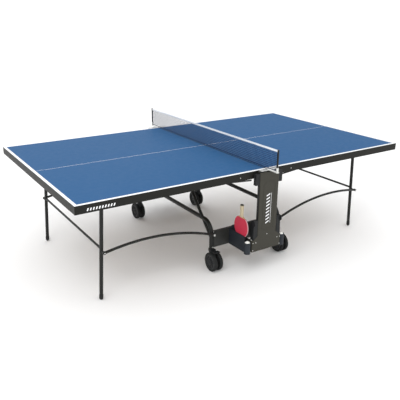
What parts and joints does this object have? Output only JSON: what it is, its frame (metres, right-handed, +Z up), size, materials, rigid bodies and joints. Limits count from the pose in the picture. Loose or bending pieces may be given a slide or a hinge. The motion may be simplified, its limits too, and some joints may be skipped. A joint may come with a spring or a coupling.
{
  "type": "ping pong table",
  "caption": "Folding ping pong table on a wheeled trolley, with hinged halves, folding legs, arched links, a post-mounted net and a bat and ball holder.",
  "frame": {"origin": "on the floor under the middle of the net", "axes": "+X along the table's length, +Y across it to the far side, +Z up"},
  "size_m": [2.74, 1.762, 0.9155],
  "materials": {
    "playing_surface": "matt roller-coated blue paint with white lines",
    "apron_steel": "satin dark grey powder coat",
    "tube_steel": "satin black powder coat",
    "screw_steel": "bright zinc",
    "black_plastic": "fine-grained black moulding",
    "foot_rubber": "matt black rubber",
    "cover_plastic": "fine-grained warm dark grey moulding",
    "upright_steel": "satin black powder coat",
    "holder_plastic": "fine-grained blue-black moulding",
    "wheel_rubber": "dark rubber tread on a black moulded wheel",
    "net_thread": "dark blue polyester thread",
    "net_tape": "white woven cotton tape",
    "bracket_zinc": "bright zinc",
    "bat_wood": "bare plywood",
    "bat_rubber": "smooth red and black rubber sheets",
    "handle_wood": "pale varnished wood",
    "ball_white": "matt white celluloid"
  },
  "bodies": {
    "trolley": {"hoop_left": "tube_steel", "hoop_right": "tube_steel", "column_cover_near": "cover_plastic", "column_cover_far": "cover_plastic", "upright_near": "upright_steel", "upright_far": "upright_steel", "side_beam_near": "tube_steel", "side_beam_far": "tube_steel", "holder_near": "holder_plastic", "holder_far": "holder_plastic", "fixings": "screw_steel", "net_post_near": "tube_steel", "net_post_far": "tube_steel", "net_mesh": "net_thread", "net_tape": "net_tape", "net_brackets": "bracket_zinc", "net_cords": "net_thread"},
    "left_carriage": {"left_sliders": "black_plastic"},
    "left_half": {"left_board": "playing_surface", "left_apron_near": "apron_steel", "left_apron_far": "apron_steel", "left_apron_end": "apron_steel", "left_under_frame": "apron_steel", "left_leg_brackets": "tube_steel", "left_apron_screws": "screw_steel"},
    "left_legs": {"left_leg_near": "tube_steel", "left_leg_far": "tube_steel", "left_crossbar": "tube_steel", "left_feet": "foot_rubber"},
    "left_links": {"left_link_near": "tube_steel", "left_link_far": "tube_steel"},
    "right_carriage": {"right_sliders": "black_plastic"},
    "right_half": {"right_board": "playing_surface", "right_apron_near": "apron_steel", "right_apron_far": "apron_steel", "right_apron_end": "apron_steel", "right_under_frame": "apron_steel", "right_leg_brackets": "tube_steel", "right_apron_screws": "screw_steel"},
    "right_legs": {"right_leg_near": "tube_steel", "right_leg_far": "tube_steel", "right_crossbar": "tube_steel", "right_feet": "foot_rubber"},
    "right_links": {"right_link_near": "tube_steel", "right_link_far": "tube_steel"},
    "caster_near_left": {"caster_fork_near_left": "black_plastic"},
    "wheels_near_left": {"caster_wheels_near_left": "wheel_rubber"},
    "caster_near_right": {"caster_fork_near_right": "black_plastic"},
    "wheels_near_right": {"caster_wheels_near_right": "wheel_rubber"},
    "caster_far_left": {"caster_fork_far_left": "black_plastic"},
    "wheels_far_left": {"caster_wheels_far_left": "wheel_rubber"},
    "caster_far_right": {"caster_fork_far_right": "black_plastic"},
    "wheels_far_right": {"caster_wheels_far_right": "wheel_rubber"},
    "pedal_near_left": {"brake_near_left": "black_plastic"},
    "pedal_far_right": {"brake_far_right": "black_plastic"},
    "bat": {"bat_blade": "bat_wood", "bat_rubbers": "bat_rubber", "bat_handle": "handle_wood"},
    "ball_left_body": {"ball_left": "ball_white"},
    "ball_right_body": {"ball_right": "ball_white"}
  },
  "joints": [
    {"name": "left_slide", "type": "slide", "parent": "trolley", "child": "left_carriage", "axis": [0, 0, -1], "range_m": [0, 0.3155]},
    {"name": "left_fold", "type": "hinge", "parent": "left_carriage", "child": "left_half", "pos_m": [-0.102, 0, 0.733], "axis": [0, 1, 0], "range_deg": [0, 90]},
    {"name": "left_leg_fold", "type": "hinge", "parent": "left_half", "child": "left_legs", "pos_m": [-1.12, 0, 0.69], "axis": [0, 1, 0], "range_deg": [-77.95, 0]},
    {"name": "left_link_swing", "type": "hinge", "parent": "trolley", "child": "left_links", "pos_m": [-0.31, 0, 0.275], "axis": [0, 1, 0], "range_deg": [0, 90.19]},
    {"name": "right_slide", "type": "slide", "parent": "trolley", "child": "right_carriage", "axis": [0, 0, -1], "range_m": [0, 0.3155]},
    {"name": "right_fold", "type": "hinge", "parent": "right_carriage", "child": "right_half", "pos_m": [0.102, 0, 0.733], "axis": [0, -1, 0], "range_deg": [0, 90]},
    {"name": "right_leg_fold", "type": "hinge", "parent": "right_half", "child": "right_legs", "pos_m": [1.12, 0, 0.69], "axis": [0, -1, 0], "range_deg": [-77.95, 0]},
    {"name": "right_link_swing", "type": "hinge", "parent": "trolley", "child": "right_links", "pos_m": [0.31, 0, 0.275], "axis": [0, -1, 0], "range_deg": [0, 90.19]},
    {"name": "swivel_near_left", "type": "hinge", "parent": "trolley", "child": "caster_near_left", "pos_m": [-0.31, -0.56, 0.15], "axis": [0, 0, 1], "continuous": true},
    {"name": "roll_near_left", "type": "hinge", "parent": "caster_near_left", "child": "wheels_near_left", "pos_m": [-0.31, -0.597, 0.07], "axis": [1, 0, 0], "continuous": true},
    {"name": "swivel_near_right", "type": "hinge", "parent": "trolley", "child": "caster_near_right", "pos_m": [0.31, -0.56, 0.15], "axis": [0, 0, 1], "continuous": true},
    {"name": "roll_near_right", "type": "hinge", "parent": "caster_near_right", "child": "wheels_near_right", "pos_m": [0.31, -0.597, 0.07], "axis": [1, 0, 0], "continuous": true},
    {"name": "swivel_far_left", "type": "hinge", "parent": "trolley", "child": "caster_far_left", "pos_m": [-0.31, 0.56, 0.15], "axis": [0, 0, 1], "continuous": true},
    {"name": "roll_far_left", "type": "hinge", "parent": "caster_far_left", "child": "wheels_far_left", "pos_m": [-0.31, 0.597, 0.07], "axis": [1, 0, 0], "continuous": true},
    {"name": "swivel_far_right", "type": "hinge", "parent": "trolley", "child": "caster_far_right", "pos_m": [0.31, 0.56, 0.15], "axis": [0, 0, 1], "continuous": true},
    {"name": "roll_far_right", "type": "hinge", "parent": "caster_far_right", "child": "wheels_far_right", "pos_m": [0.31, 0.597, 0.07], "axis": [1, 0, 0], "continuous": true},
    {"name": "brake_press_near_left", "type": "hinge", "parent": "caster_near_left", "child": "pedal_near_left", "pos_m": [-0.31, -0.587, 0.151], "axis": [1, 0, 0], "range_deg": [0, 10]},
    {"name": "brake_press_far_right", "type": "hinge", "parent": "caster_far_right", "child": "pedal_far_right", "pos_m": [0.31, 0.587, 0.151], "axis": [-1, 0, 0], "range_deg": [0, 10]},
    {"name": "bat_lift", "type": "slide", "parent": "trolley", "child": "bat", "axis": [0, 0, 1], "range_m": [0, 0.11]},
    {"name": "ball_left_lift", "type": "slide", "parent": "trolley", "child": "ball_left_body", "axis": [0, 0, 1], "range_m": [0, 0.035]},
    {"name": "ball_right_lift", "type": "slide", "parent": "trolley", "child": "ball_right_body", "axis": [0, 0, 1], "range_m": [0, 0.035]}
  ],
  "couplings": [
    {"joint": "left_slide", "follows": "left_fold", "m_per_rad": 0.20053},
    {"joint": "left_leg_fold", "follows": "left_fold", "ratio": -0.865},
    {"joint": "left_link_swing", "follows": "left_fold", "ratio": 1.001},
    {"joint": "right_slide", "follows": "right_fold", "m_per_rad": 0.20053},
    {"joint": "right_leg_fold", "follows": "right_fold", "ratio": -0.865},
    {"joint": "right_link_swing", "follows": "right_fold", "ratio": 1.001}
  ]
}
